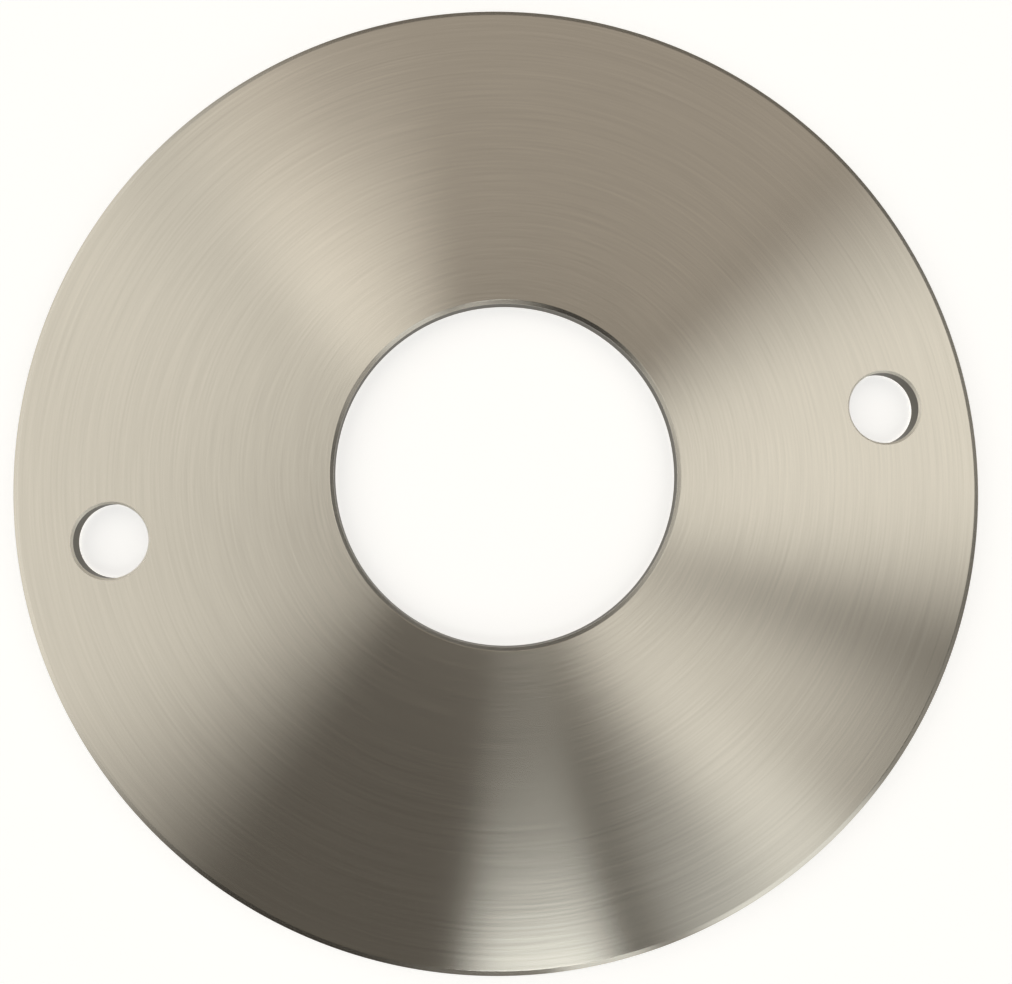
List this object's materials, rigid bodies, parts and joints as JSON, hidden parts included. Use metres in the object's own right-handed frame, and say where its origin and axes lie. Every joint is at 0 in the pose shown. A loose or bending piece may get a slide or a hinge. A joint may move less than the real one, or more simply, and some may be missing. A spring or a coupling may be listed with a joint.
{
  "type": "round cover plate",
  "caption": "Flat round cover plate, a turned steel disc with a chamfered rim, a central bore and two screw holes on opposite sides.",
  "frame": {"origin": "on the bore's axis, at the back face, which the plate lies on", "axes": "+Z along the bore's axis from the back face to the front face, X through the two screw holes"},
  "size_m": [0.14, 0.14, 0.003],
  "materials": {
    "turned_steel": "faced on a lathe, satin, with fine concentric turning marks and brighter chamfers"
  },
  "bodies": {
    "root": {"cover_plate": "turned_steel"}
  },
  "joints": []
}
